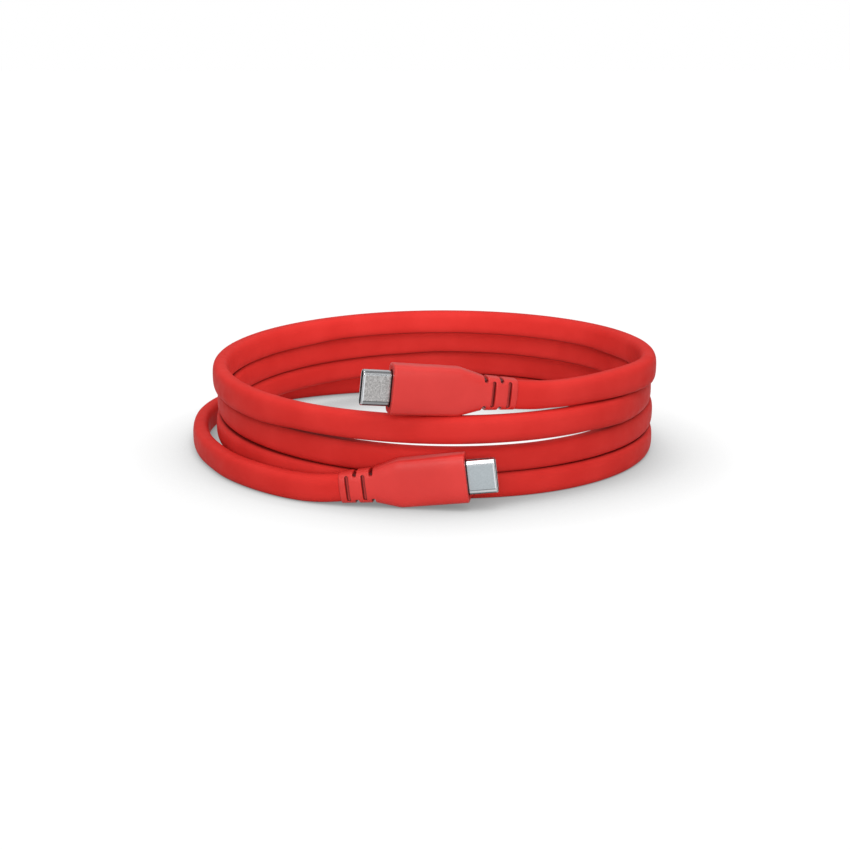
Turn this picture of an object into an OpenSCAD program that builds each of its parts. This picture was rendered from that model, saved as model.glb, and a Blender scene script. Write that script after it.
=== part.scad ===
// A coiled USB-C cable. The flat cord stands on its narrow edge in three stacked turns and a wider
// loop on the surface, with a plug at each end. +Z is up and the origin is under the middle, on the
// surface. Each plug is drawn in its own frame: +X out of the mouth, Z across its width, Y through
// its thickness, and X = 0 where the steel shell leaves the moulding.

/* [Cord] */
// Width of the flat cord, which stands up in the coil
cord_w = 6.2; // [5:0.1:7.4]
// Thickness of the flat cord
cord_t = 4.2; // [3.5:0.1:5]

/* [Coil] */
// Radius of the turns, to the middle of the cord
coil_r = 54; // [45:1:65]
// Clear height between one turn and the next where they lie closest
layer_gap = 0.5; // [0.45:0.05:1]
// Clear height between a plug and what it rests on
rest_gap = 0.1; // [0.1:0.05:0.5]

/* [Plug moulding] */
// Length of the straight body, from the shell to the shoulder
body_l = 15.8; // [15.4:0.1:19]
// Width of the body at the shell
body_w = 11.6; // [10.8:0.1:12.3]
// Width of the body at the shoulder
waist_w = 11.3; // [10.2:0.1:12.3]
// Thickness of the body
body_t = 5.8; // [5.6:0.1:6.5]
// Radius of the body's long edges
edge_r = 1.9; // [1:0.1:2.2]
// Rounding round the front rim of the body
rim_r = 0.5; // [0.2:0.1:0.8]
// Length of the shoulder, where the body narrows to the strain relief
shoulder_l = 5.6; // [4:0.1:8]
// Length of the strain relief
relief_l = 8.2; // [7:0.1:12]
// Moulding over the cord's width at the thick end of the strain relief
relief_root = 0.95; // [0.7:0.05:1.3]
// Moulding over the cord's width at the thin end of the strain relief
relief_tip = 0.45; // [0.3:0.05:0.6]
// Number of slots in each wide face of the strain relief
slots = 2; // [1:1:2]
// Width of a slot, along the cord
slot_w = 0.75; // [0.4:0.05:1]
// Distance from a slot to the notches beside it
slot_step = 1.8; // [1.4:0.05:2]

/* [Steel shell] */
// Width of the shell
shell_w = 8.25; // [8:0.01:8.4]
// Thickness of the shell
shell_t = 2.4; // [2.36:0.01:2.5]
// Sheet thickness of the shell
shell_wall = 0.2; // [0.12:0.01:0.22]
// Length of shell that stands out of the moulding
shell_reach = 6.7; // [6.4:0.05:7.2]
// Length of shell that is held in the moulding
shell_grip = 7; // [6.8:0.1:7.5]

/* [Contacts] */
// Distance from one contact to the next
contact_pitch = 0.5; // [0.48:0.01:0.52]
// Width of a contact
contact_w = 0.22; // [0.16:0.01:0.26]
// Sheet thickness of the contacts
contact_sheet = 0.15; // [0.1:0.01:0.16]

/* [Card and wires] */
// Thickness of the paddle card
card_t = 0.8; // [0.6:0.05:0.9]
// Length of the paddle card behind the contacts
card_l = 4.6; // [4.2:0.1:5]
// Diameter of a data wire over its insulation
data_d = 0.75; // [0.6:0.05:0.78]
// Diameter of a power wire over its insulation
power_d = 1.15; // [0.9:0.05:1.2]
// Sheet thickness of the shield cans
can_wall = 0.2; // [0.15:0.05:0.25]

/* [Hidden] */
PLUGS = ["upper", "lower"];
PLUG_PIECES = [
    "moulding", "shell", "housing", "contacts_a", "contacts_b", "latch_plate", "ground_spring_a",
    "ground_spring_b", "carrier", "paddle_card", "marker_chip", "chip_parts", "power_wires",
    "data_wires", "can_a", "can_b", "inner_mould", "braid_cuff", "crimp_ring"
];

// Clearance between the moulding and what lies inside it
seat = 0.02;
// Clearance between small pieces that are slid together
slip = 0.03;
// Margin by which a cut runs past what it cuts
past = 1;
plug_l = body_l + shoulder_l + relief_l;

// ---- The coil's route ----
// A turn is a circle that wanders off centre and sinks. Every half turn, from a quarter turn before
// the first: how far its circle lies off centre in X and Y. Every quarter turn: its height in layers.
shifts = [[3.5, -8], [-2.5, -5], [0.5, -2], [-1, 0], [0, 2.4], [1.5, 3.5], [-4.5, 3.5]];
levels = [3.25, 3.19, 3.02, 2.63, 2.22, 2.13, 2.03, 1.56, 1.03, 1.03, 1.02, 0.56, -0.03];
layer = cord_w + layer_gap;
turn_step = 15;
first_angle = -15;
last_angle = 975;

// Point on a smooth curve through the points p, at u counted in points.
function spline(p, u) =
    let (n = len(p), i = min(max(floor(u), 0), n - 2), f = u - i)
    let (b = p[i], c = p[i + 1], a = i > 0 ? p[i - 1] : 2 * b - c, d = i < n - 2 ? p[i + 2] : 2 * c - b)
    0.5 * (2 * b + (c - a) * f + (2 * a - 5 * b + 4 * c - d) * f * f + (3 * b - a - 3 * c + d) * f * f * f);
function coil_point(angle) =
    let (s = spline(shifts, (angle + 90) / 180), level = spline(levels, (angle + 90) / 90))
    [s[0] + coil_r * cos(angle), s[1] + coil_r * sin(angle), cord_w / 2 + layer * level];
function unit(v) = v / norm(v);
function heading(yaw, pitch) = [cos(pitch) * cos(yaw), cos(pitch) * sin(yaw), sin(pitch)];

// ---- Where the plugs lie ----
// The upper plug points left, with the back of its body resting on the first turn below it.
upper_yaw = 195.5;
upper_pitch = 6;
upper_x = 18;
upper_inset = 3.2;
upper_dir = heading(upper_yaw, upper_pitch);
upper_rest = coil_point(275)[2] + cord_w / 2 + rest_gap;
upper_tail = [
    upper_x, -(coil_r - upper_inset),
    upper_rest + waist_w / 2 * cos(upper_pitch) - (plug_l - body_l) * sin(upper_pitch)
];
upper_tip = upper_tail + upper_dir * plug_l;

// The lower plug points right, with the lower edge of its shoulder on the surface.
lower_yaw = -8;
lower_pitch = 7;
lower_x = 7.2;
lower_outset = 4.4;
lower_dir = heading(lower_yaw, lower_pitch);
lower_tip = [
    lower_x, -(coil_r + lower_outset), waist_w / 2 * cos(lower_pitch) + body_l * sin(lower_pitch)
];
lower_tail = lower_tip - lower_dir * plug_l;

// ---- The cord's points ----
// Depth of the cord's end inside the strain relief, from the shell's root
cord_end_x = -17;
cord_grip = plug_l + cord_end_x;
straight = cord_w;
lead_out = 8;
lead_in = 9;
coil_start = coil_point(first_angle);
coil_start_dir = unit(coil_point(first_angle + 1) - coil_start);
upper_straight_end = upper_tail - upper_dir * straight;
function bezier(a, b, c, d, u) =
    a * pow(1 - u, 3) + b * 3 * u * pow(1 - u, 2) + c * 3 * u * u * (1 - u) + d * u * u * u;
function lead_point(u) = bezier(
    upper_straight_end, upper_straight_end - upper_dir * lead_out, coil_start - coil_start_dir * lead_in,
    coil_start, u
);
// Its other end runs straight on for one cord width, to where the loop takes over.
coil_end = coil_point(last_angle + straight / coil_r * 180 / PI);
coil_end_dir = unit(coil_end - coil_point(last_angle));
coil_path = concat(
    [upper_tail + upper_dir * cord_grip, upper_tail, upper_straight_end],
    [for (u = [0.25:0.25:0.75]) lead_point(u)],
    [for (a = [first_angle:turn_step:last_angle]) coil_point(a)],
    [coil_end]
);

// The loop on the surface: [angle, distance outside the coil's radius].
loop_points = [
    [1005, -3.5], [1025, -2.1], [1045, -1], [1065, 0.2], [1085, 1.4], [1105, 2.6], [1125, 3.6],
    [1145, 4.6], [1165, 6.1], [1185, 8.2], [1201, 10.4], [1216, 12.2], [1230, 11.9], [1245, 10],
    [1260, 7.6], [1275, 6.3], [1290, 6]
];
function loop_point(p) = [(coil_r + p[1]) * cos(p[0]), (coil_r + p[1]) * sin(p[0]), cord_w / 2];
function on_surface(p) = [p[0], p[1], max(p[2], cord_w / 2)];
loop_route = concat([coil_end + coil_end_dir * 2], [for (p = loop_points) loop_point(p)]);
// From the last of these points it bends into the lower plug.
bend_start = loop_route[len(loop_route) - 1];
bend_dir = unit(cross([0, 0, 1], [bend_start[0], bend_start[1], 0]));
bend_end = lower_tail - lower_dir * 2;
bend_out = 14;
bend_in = 9;
function bend_point(u) =
    bezier(bend_start, bend_start + bend_dir * bend_out, bend_end - lower_dir * bend_in, bend_end, u);
loop_path = concat(
    [coil_end],
    [for (u = [0:0.5:len(loop_route) - 1]) on_surface(spline(loop_route, u))],
    [for (u = [0.2:0.2:1]) on_surface(bend_point(u))],
    [lower_tail, lower_tail + lower_dir * cord_grip]
);

// ---- Sections and the tube swept along a path ----
// Six or eight sided section of the cord, with a flat top and bottom, grown by g all round.
function cord_section(sides, g = 0) =
    let (t = cord_t / 2 + g, w = cord_w / 2 + g, flat = 0.24 * cord_t + g / 2, side = 0.24 * cord_w + g / 2)
    sides == 6
        ? [[t, 0], [flat, w], [-flat, w], [-t, 0], [-flat, -w], [flat, -w]]
        : [[t, side], [flat, w], [-flat, w], [-t, side], [-t, -side], [-flat, -w], [flat, -w], [t, -side]];
// Direction of the path at point i: square to the run at both ends.
function path_dir(p, i) =
    i == 0 ? unit(p[1] - p[0]) : i == len(p) - 1 ? unit(p[i] - p[i - 1])
    : unit(unit(p[i + 1] - p[i]) + unit(p[i] - p[i - 1]));
function path_ring(p, i, section) =
    let (d = path_dir(p, i), out = unit(cross(d, [0, 0, 1])), up = cross(out, d))
    [for (s = section) p[i] + out * s[0] + up * s[1]];
function fan(n, first, flip) = [for (k = [1:n - 2]) flip ? [first, first + k + 1, first + k] : [first, first + k, first + k + 1]];
// Skins a list of rings that all have n points, as triangles with a flat cap at both ends.
module skin(rings) {
    n = len(rings[0]);
    last = (len(rings) - 1) * n;
    sides = [
        for (i = [0:len(rings) - 2], k = [0:n - 1])
            let (a = i * n + k, b = i * n + (k + 1) % n)
            each [[a, b, b + n], [a, b + n, a + n]]
    ];
    polyhedron([for (r = rings) each r], concat(fan(n, 0, true), sides, fan(n, last, false)));
}
module tube(path, sides) {
    section = cord_section(sides);
    skin([for (i = [0:len(path) - 1]) path_ring(path, i, section)]);
}

// Middle of everything, so that the origin lies under it.
cord_all = concat(coil_path, loop_path);
lower_side = [for (x = [-body_l, 0]) lower_tip + lower_dir * x - [0, body_t / 2, 0]];
middle = [
    for (k = [0, 1])
        (max([for (p = cord_all) p[k] + cord_t / 2]) + min(concat([for (p = cord_all) p[k] - cord_t / 2], [for (p = lower_side) p[k]]))) / 2
];
module placed() translate([-middle[0], -middle[1], 0]) children();
module upper() placed() translate(upper_tip) rotate([0, -upper_pitch, upper_yaw]) children();
module lower() placed() translate(lower_tip) rotate([0, -lower_pitch, lower_yaw]) children();

// Least distance between the cord's surface and itself, half a turn or more away, measured across
// the cord on points round its rings and round the tube between them.
gap_steps = 4;
side_steps = 4;
function outline(path, i, sides) =
    let (r = path_ring(path, i, cord_section(sides)), n = len(r))
    [for (k = [0:n - 1], f = [0:side_steps - 1]) r[k] + (r[(k + 1) % n] - r[k]) * f / side_steps];
function outlines(path, sides) =
    let (r = [for (i = [0:len(path) - 1]) outline(path, i, sides)])
    [for (i = [0:len(path) - 2], f = [0:gap_steps - 1]) r[i] + (r[i + 1] - r[i]) * f / gap_steps];
gap_skip = 12 * gap_steps;
gap_reach = cord_w + 2;
// Length of v across the direction d, if it runs no further along it than one step.
gap_run = coil_r * turn_step * PI / 180 / gap_steps;
function across(v, d) = let (run = v * d) abs(run) < gap_run ? norm(v - d * run) : norm(v);
function least_gap() =
    let (g = concat(outlines(coil_path, 6), outlines(loop_path, 8)))
    min([
        for (i = [0:len(g) - 2], j = [i + gap_skip:1:len(g) - 1])
            if (norm(g[i][0] - g[j][0]) < gap_reach)
                let (d = unit(g[i + 1][0] - g[i][0])) min([for (a = g[i], b = g[j]) across(b - a, d)])
    ]);

// ---- Cord ----
cord_red = [0.82, 0.16, 0.15];
module cord_coil() color(cord_red) placed() tube(coil_path, 6);
module cord_loop() color(cord_red) placed() tube(loop_path, 8);

// ---- Helpers in a plug's frame ----
// Box between two corners.
module block(a, b) translate(a) cube(b - a);
// Bar along X from x0 to x1, w across and t thick, with fully rounded edges.
module round_bar(x0, x1, w, t) translate([x0, 0, 0]) rotate([90, 0, 90]) linear_extrude(x1 - x0) {
    square([t, w - t], center = true);
    for (s = [-1, 1]) translate([0, s * (w - t) / 2]) circle(d = t, $fn = 48);
}
// Cord section along X from x0 to x1, grown by g.
module cord_bar(x0, x1, sides, g) translate([x0, 0, 0]) rotate([90, 0, 90])
    linear_extrude(x1 - x0) polygon(cord_section(sides, g));
// Flat sheet cut to an outline in X and Z, centred on Y = 0.
module sheet(t) rotate([90, 0, 0]) linear_extrude(t, center = true) children();
// Side view in X and Y, w wide and centred on z.
module side_view(z, w) translate([0, 0, z - w / 2]) linear_extrude(w) children();
module wire(x0, x1, y, z, d) translate([x0, y, z]) rotate([0, 90, 0]) cylinder(h = x1 - x0, d = d, $fn = 24);

// ---- Steel shell ----
module shell() color([0.78, 0.79, 0.8]) difference() {
    round_bar(-shell_grip, shell_reach, shell_w, shell_t);
    round_bar(-shell_grip - past, shell_reach + past, shell_w - 2 * shell_wall, shell_t - 2 * shell_wall);
}

// ---- Housing ----
housing_w = shell_w - 2 * shell_wall - 2 * slip;
housing_t = shell_t - 2 * shell_wall - 2 * slip;
housing_back = -shell_grip + 0.6;
housing_front = shell_reach - 0.25;
mouth_w = 6.7;
mouth_t = 0.9;
mouth_floor = 0.6;
pocket_w = 6.9;
pocket_t = 1.5;
groove_w = contact_w + 0.1;
contact_tip = housing_front - 1.75;
// Side slots for the latch arms, and the arms in them
arm_outer = 3.7;
arm_inner = 3.4;
arm_tip = contact_tip + 0.7;
plate_t = 0.25;
// Recess and windows for the grounding springs
spring_back = contact_tip - 1.6;
spring_w = 6;
spring_sheet = 0.1;
spring_y = housing_t / 2 - spring_sheet;
finger_w = 0.7;
finger_pitch = 1.6;
finger_root = contact_tip + 0.3;
finger_tip = housing_front - 0.35;
fingers = [-1.5, -0.5, 0.5, 1.5] * finger_pitch;
row_a = [for (i = [0:11]) (i - 5.5) * contact_pitch];
// The lower row has no second USB 2.0 pair, so its two middle places are empty
row_b = [for (i = [0:11]) if (i != 5 && i != 6) (i - 5.5) * contact_pitch];

module housing() color([0.12, 0.12, 0.13]) difference() {
    round_bar(housing_back, housing_front, housing_w, housing_t);
    block([mouth_floor, -mouth_t / 2, -mouth_w / 2], [housing_front + past, mouth_t / 2, mouth_w / 2]);
    block([housing_back - past, -pocket_t / 2, -pocket_w / 2], [0, pocket_t / 2, pocket_w / 2]);
    for (z = row_a) block([-0.1, 0, z - groove_w / 2], [contact_tip + 0.2, pocket_t / 2, z + groove_w / 2]);
    for (z = row_b) block([-0.1, -pocket_t / 2, z - groove_w / 2], [contact_tip + 0.2, 0, z + groove_w / 2]);
    for (s = [-1, 1]) block(
        [plate_back - slip, -plate_t / 2 - slip, s > 0 ? 0 : -arm_outer - slip],
        [arm_tip + 0.3, plate_t / 2 + slip, s > 0 ? arm_outer + slip : 0]
    );
    for (s = [-1, 1]) {
        block(
            [spring_back - slip, s > 0 ? spring_y - slip : -housing_t, -spring_w / 2 - slip],
            [finger_tip + slip, s > 0 ? housing_t : -spring_y + slip, spring_w / 2 + slip]
        );
        for (z = fingers) block(
            [finger_root - 0.1, s > 0 ? 0 : -housing_t, z - finger_w / 2 - slip],
            [finger_tip + slip, s > 0 ? housing_t : 0, z + finger_w / 2 + slip]
        );
    }
}

// ---- Contacts ----
card_y = card_t / 2;
carrier_back = housing_back + 0.1;
carrier_front = -1.2;
carrier_y = 0.5;
card_front = carrier_back - 0.6;
foot_back = card_front - 1.2;
module contact(z) side_view(z, contact_w) polygon([
    [foot_back, card_y], [card_front - 0.1, card_y], [carrier_back - 0.1, carrier_y], [2.2, carrier_y],
    [contact_tip - 0.7, 0.28], [contact_tip - 0.4, 0.28], [contact_tip, 0.42],
    [contact_tip, 0.42 + contact_sheet], [contact_tip - 0.4, 0.28 + contact_sheet],
    [contact_tip - 0.7, 0.28 + contact_sheet], [2.2, carrier_y + contact_sheet],
    [carrier_back - 0.1, carrier_y + contact_sheet], [card_front - 0.1, card_y + contact_sheet],
    [foot_back, card_y + contact_sheet]
]);
module contacts_a() color([0.85, 0.66, 0.25]) for (z = row_a) contact(z);
module contacts_b() color([0.85, 0.66, 0.25]) mirror([0, 1, 0]) for (z = row_b) contact(z);

// ---- Latch plate: one sheet between the rows, with an arm up each side of the mouth ----
plate_back = -1.1;
plate_bar = 0.8;
leg_z = [3.05, pocket_w / 2 - slip];
module latch_plate() color([0.7, 0.71, 0.73]) sheet(plate_t) {
    translate([plate_back, -arm_outer]) square([plate_bar, 2 * arm_outer]);
    translate([carrier_back - 0.45, -1.6]) square([plate_back - carrier_back + 0.5, 3.2]);
    translate([carrier_back - 0.45, -leg_z[1]]) square([0.4, 2 * leg_z[1]]);
    for (s = [0, 1]) mirror([0, s]) {
        translate([foot_back, leg_z[0]]) square([carrier_back - 0.1 - foot_back, leg_z[1] - leg_z[0]]);
        polygon([
            [plate_back, arm_inner], [arm_tip - 1.1, arm_inner], [arm_tip - 0.7, 3.05], [arm_tip - 0.4, 3.05],
            [arm_tip, arm_inner], [arm_tip, arm_outer], [plate_back, arm_outer]
        ]);
    }
}

// ---- Grounding springs ----
module ground_spring_a() color([0.74, 0.75, 0.77]) {
    block([spring_back, spring_y, -spring_w / 2], [finger_root, spring_y + spring_sheet, spring_w / 2]);
    for (z = fingers) side_view(z, finger_w) polygon([
        [finger_root, spring_y], [finger_root + 0.35, 0.36], [finger_tip - 0.2, 0.3], [finger_tip - 0.05, 0.5],
        [finger_tip - 0.15, 0.5], [finger_tip - 0.25, 0.4], [finger_root + 0.42, 0.46],
        [finger_root + 0.1, spring_y + spring_sheet], [finger_root, spring_y + spring_sheet]
    ]);
}
module ground_spring_b() mirror([0, 1, 0]) ground_spring_a();

// ---- Carrier: holds the contacts' tails and the latch plate ----
module carrier() color([0.14, 0.14, 0.15]) difference() {
    block([carrier_back, -carrier_y, -pocket_w / 2 + slip], [carrier_front, carrier_y, pocket_w / 2 - slip]);
    block([carrier_back - past, -plate_t / 2 - slip, -1.6 - slip], [carrier_front + past, plate_t / 2 + slip, 1.6 + slip]);
}

// ---- Paddle card, chips ----
card_w = 7.9;
card_back = foot_back - 0.1 - card_l;
module paddle_card() color([0.1, 0.35, 0.18]) {
    block([foot_back - 0.1, -card_y, -leg_z[0] + 0.05], [card_front, card_y, leg_z[0] - 0.05]);
    block([card_back, -card_y, -card_w / 2], [foot_back - 0.1, card_y, card_w / 2]);
}
chip_front = foot_back - 0.4;
module marker_chip() color([0.09, 0.09, 0.1]) block([chip_front - 2, card_y, -3], [chip_front, card_y + 0.55, -0.8]);
module chip_parts() color([0.55, 0.5, 0.42]) {
    for (z = [0.4, 1.6, 2.8]) block([chip_front - 1.2, card_y, z - 0.25], [chip_front - 0.2, card_y + 0.35, z + 0.25]);
    for (z = [-2.4, -0.8, 0.8, 2.4]) block([chip_front - 1.4, -card_y - 0.35, z - 0.25], [chip_front - 0.4, -card_y, z + 0.25]);
}

// ---- Wires: from the cord's end, along the card's faces, to their pads ----
bare_l = 1;
bare_x = card_back + 0.3;
pad_w = 0.5;
power_z = [-2.3, 2.3];
data_z_a = [-1.2, -0.4, 0.4, 1.2];
data_z_b = [-2, -1.2, -0.4, 0.4, 1.2, 2];
module soldered(y, z, d) {
    wire(cord_end_x, bare_x, y, z, d);
    wire(bare_x - 0.1, bare_x + bare_l, y, z, d / 2);
    block([bare_x + 0.2, card_y, z - pad_w / 2], [bare_x + bare_l - 0.1, y, z + pad_w / 2]);
}
module power_wires() color([0.75, 0.1, 0.1]) for (z = power_z) soldered(card_y + power_d / 2, z, power_d);
module data_wires() color([0.9, 0.9, 0.88]) {
    for (z = data_z_a) soldered(card_y + data_d / 2, z, data_d);
    mirror([0, 1, 0]) for (z = data_z_b) soldered(card_y + data_d / 2, z, data_d);
}

// ---- Inner mould round the wires, and the shield cans ----
can_w = 8.9;
can_t = body_t - 1.4;
can_front = -shell_grip + 0.2;
can_back = -16.6;
// Hole in the cans' back wall for the wires
wire_room = 0.1;
wire_hole_t = card_y + power_d + wire_room;
wire_hole_w = power_z[1] + power_d / 2 + wire_room;
inner_back = can_back + can_wall;
inner_front = card_back - 0.1;
module inner_mould() color([0.88, 0.86, 0.8]) difference() {
    block(
        [inner_back, -can_t / 2 + can_wall + slip, -can_w / 2 + can_wall + slip],
        [inner_front, can_t / 2 - can_wall - slip, can_w / 2 - can_wall - slip]
    );
    for (z = power_z) wire(inner_back - past, inner_front + past, card_y + power_d / 2, z, power_d + 2 * seat);
    for (z = data_z_a) wire(inner_back - past, inner_front + past, card_y + data_d / 2, z, data_d + 2 * seat);
    for (z = data_z_b) wire(inner_back - past, inner_front + past, -card_y - data_d / 2, z, data_d + 2 * seat);
}
module can_a() color([0.72, 0.73, 0.75]) difference() {
    block([can_back, slip, -can_w / 2], [can_front, can_t / 2, can_w / 2]);
    block(
        [can_back + can_wall, -past, -can_w / 2 + can_wall],
        [can_front - can_wall, can_t / 2 - can_wall, can_w / 2 - can_wall]
    );
    round_bar(can_front - can_wall - past, can_front + past, shell_w + 2 * slip, shell_t + 2 * slip);
    block([can_back - past, -past, -wire_hole_w], [can_back + past, wire_hole_t, wire_hole_w]);
}
module can_b() mirror([0, 1, 0]) can_a();

// ---- Braid cuff and crimp ring, on the cord's end inside the moulding ----
cuff_wall = 0.2;
ring_wall = 0.3;
cuff_back = cord_end_x - 3;
cuff_front = cord_end_x - 0.1;
ring_back = cord_end_x - 2.6;
ring_front = cord_end_x - 0.6;
ring_g = seat + cuff_wall + slip;
module braid_cuff(sides) color([0.66, 0.64, 0.6]) difference() {
    cord_bar(cuff_back, cuff_front, sides, seat + cuff_wall);
    cord_bar(cuff_back - past, cuff_front + past, sides, seat);
}
module crimp_ring(sides) color([0.8, 0.68, 0.4]) difference() {
    cord_bar(ring_back, ring_front, sides, ring_g + ring_wall);
    cord_bar(ring_back - past, ring_front + past, sides, ring_g);
}

// ---- Moulding: body, shoulder and slotted strain relief in one piece ----
// Rounded rectangle at x, w across and t thick, with corner radius r.
corner_steps = 4;
function rounded_ring(x, w, t, r) = [
    for (q = [0:3], k = [0:corner_steps])
        let (a = q * 90 + k * 90 / corner_steps, sy = q == 0 || q == 3 ? 1 : -1, sz = q < 2 ? 1 : -1)
        [x, sy * (t / 2 - r) + r * cos(a), sz * (w / 2 - r) + r * sin(a)]
];
root_w = cord_w + 2 * relief_root;
root_t = cord_t + 1.5 * relief_root;
tip_w = cord_w + 2 * relief_tip;
tip_t = cord_t + 2 * relief_tip;
tip_round = 0.3;
root_x = -body_l - shoulder_l;
relief_edge = 1.7;
module moulding_outside() skin([
    each [
        for (a = [0:30:90])
            let (inset = rim_r * (1 - sin(a)))
            rounded_ring(-rim_r * (1 - cos(a)), body_w - 2 * inset, body_t - 2 * inset, edge_r - inset)
    ],
    rounded_ring(-body_l, waist_w, body_t, edge_r),
    rounded_ring(-body_l - 0.15 * shoulder_l, waist_w - 0.2, body_t - 0.02, edge_r),
    rounded_ring(-body_l - 0.85 * shoulder_l, root_w + 0.35, root_t + 0.15, edge_r),
    rounded_ring(root_x, root_w, root_t, relief_edge),
    rounded_ring(-plug_l + tip_round, tip_w, tip_t, relief_edge),
    rounded_ring(-plug_l, tip_w - tip_round, tip_t - tip_round, relief_edge)
]);
slot_x = [for (i = [0:slots - 1]) -plug_l + slot_step * (1 + 2 * i)];
notch_x = [for (i = [0:slots - 1]) -plug_l + slot_step * (2 + 2 * i)];
slot_l = cord_w - 0.6;
module moulding(sides) color(cord_red) difference() {
    moulding_outside();
    round_bar(can_front - past, past, shell_w + 2 * seat, shell_t + 2 * seat);
    block([can_back - seat, -can_t / 2 - seat, -can_w / 2 - seat], [can_front + seat, can_t / 2 + seat, can_w / 2 + seat]);
    cord_bar(-plug_l - past, can_back + past, sides, seat);
    block(
        [cord_end_x - seat, -card_y - power_d - seat, -power_z[1] - power_d / 2 - seat],
        [can_back + past, card_y + power_d + seat, power_z[1] + power_d / 2 + seat]
    );
    cord_bar(cuff_back - seat, cuff_front + seat, sides, 2 * seat + cuff_wall);
    cord_bar(ring_back - seat, ring_front + seat, sides, ring_g + ring_wall + seat);
    for (x = slot_x) block([x - slot_w / 2, -body_t, -slot_l / 2], [x + slot_w / 2, body_t, slot_l / 2]);
    for (x = notch_x, s = [0, 1]) mirror([0, 0, s])
        block([x - slot_w / 2, -body_t, cord_w / 2], [x + slot_w / 2, body_t, body_w]);
}

// ---- One plug's pieces, by name; sides is the cord section's number of sides ----
module plug_piece(name, sides) {
    if (name == "moulding") moulding(sides);
    if (name == "shell") shell();
    if (name == "housing") housing();
    if (name == "contacts_a") contacts_a();
    if (name == "contacts_b") contacts_b();
    if (name == "latch_plate") latch_plate();
    if (name == "ground_spring_a") ground_spring_a();
    if (name == "ground_spring_b") ground_spring_b();
    if (name == "carrier") carrier();
    if (name == "paddle_card") paddle_card();
    if (name == "marker_chip") marker_chip();
    if (name == "chip_parts") chip_parts();
    if (name == "power_wires") power_wires();
    if (name == "data_wires") data_wires();
    if (name == "can_a") can_a();
    if (name == "can_b") can_b();
    if (name == "inner_mould") inner_mould();
    if (name == "braid_cuff") braid_cuff(sides);
    if (name == "crimp_ring") crimp_ring(sides);
}

echo(str("least gap of the cord to itself: ", least_gap(), " mm"));
cord_coil();
cord_loop();
for (p = PLUG_PIECES) {
    upper() plug_piece(p, 6);
    lower() plug_piece(p, 8);
}
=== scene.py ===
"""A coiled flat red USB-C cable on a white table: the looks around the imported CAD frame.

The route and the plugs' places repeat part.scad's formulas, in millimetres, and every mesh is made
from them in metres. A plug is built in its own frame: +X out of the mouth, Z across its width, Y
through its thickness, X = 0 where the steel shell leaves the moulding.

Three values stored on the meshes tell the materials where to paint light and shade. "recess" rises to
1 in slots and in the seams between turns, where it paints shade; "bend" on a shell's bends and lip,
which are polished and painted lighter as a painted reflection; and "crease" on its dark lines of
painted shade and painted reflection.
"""

import math

import bmesh
import bpy
import numpy as np
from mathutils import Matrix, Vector


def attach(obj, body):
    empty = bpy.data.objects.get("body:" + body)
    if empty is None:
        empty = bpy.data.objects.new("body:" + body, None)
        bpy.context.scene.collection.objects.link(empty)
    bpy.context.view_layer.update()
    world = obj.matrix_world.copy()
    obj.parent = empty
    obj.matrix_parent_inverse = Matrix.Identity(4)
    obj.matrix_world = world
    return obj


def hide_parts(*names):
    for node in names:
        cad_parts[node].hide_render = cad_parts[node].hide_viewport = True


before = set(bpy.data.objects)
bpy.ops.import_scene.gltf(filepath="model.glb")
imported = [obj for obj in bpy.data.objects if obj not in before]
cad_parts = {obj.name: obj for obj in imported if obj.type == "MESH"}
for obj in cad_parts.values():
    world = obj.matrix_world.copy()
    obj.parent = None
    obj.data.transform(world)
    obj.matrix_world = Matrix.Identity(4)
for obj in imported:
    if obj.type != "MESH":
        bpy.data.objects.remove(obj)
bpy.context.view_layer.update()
MM = 0.001
scene = bpy.context.scene

# ---------------------------------------------------------------- camera
CAMERA_AT = (1.013, -408.07, 109.05)
CAMERA_TILT = 75.651
CAMERA_LENS = 67.49
camera_data = bpy.data.cameras.new("camera")
camera_data.lens = CAMERA_LENS
camera_data.sensor_width = 36
camera_data.clip_start = 0.01
camera = bpy.data.objects.new("camera", camera_data)
camera.location = [c * MM for c in CAMERA_AT]
camera.rotation_euler = (math.radians(CAMERA_TILT), 0, 0)
scene.collection.objects.link(camera)
scene.camera = camera

# ---------------------------------------------------------------- sizes shared with part.scad
CORD_W, CORD_T = 6.2, 4.2
COIL_R = 54.0
MIDDLE = np.array([-3.51343, 0.751743, 0.0])  # the frame's origin, from the coil's centre
BODY_L, SHOULDER_L, RELIEF_L = 15.8, 5.6, 8.2
PLUG_L = BODY_L + SHOULDER_L + RELIEF_L
BODY_W, WAIST_W, BODY_T = 11.6, 11.3, 5.8
RELIEF_ROOT, RELIEF_TIP = 0.95, 0.45
SHELL_W, SHELL_T, SHELL_WALL, SHELL_REACH = 8.25, 2.4, 0.2, 6.7


# ---------------------------------------------------------------- the cord's route
def unit(v):
    return v / np.linalg.norm(v)


def heading(yaw, pitch):
    y, p = math.radians(yaw), math.radians(pitch)
    return np.array([math.cos(p) * math.cos(y), math.cos(p) * math.sin(y), math.sin(p)])


def spline(points, u):
    """Point on a smooth curve through the points, at u counted in points."""
    p = np.asarray(points, float)
    n = len(p)
    i = min(max(int(math.floor(u)), 0), n - 2)
    f = u - i
    b, c = p[i], p[i + 1]
    a = p[i - 1] if i > 0 else 2 * b - c
    d = p[i + 2] if i < n - 2 else 2 * c - b
    return 0.5 * (
        2 * b + (c - a) * f + (2 * a - 5 * b + 4 * c - d) * f**2 + (3 * b - a - 3 * c + d) * f**3
    )


def bezier(a, b, c, d, u):
    return a * (1 - u) ** 3 + b * 3 * u * (1 - u) ** 2 + c * 3 * u * u * (1 - u) + d * u**3


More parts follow.
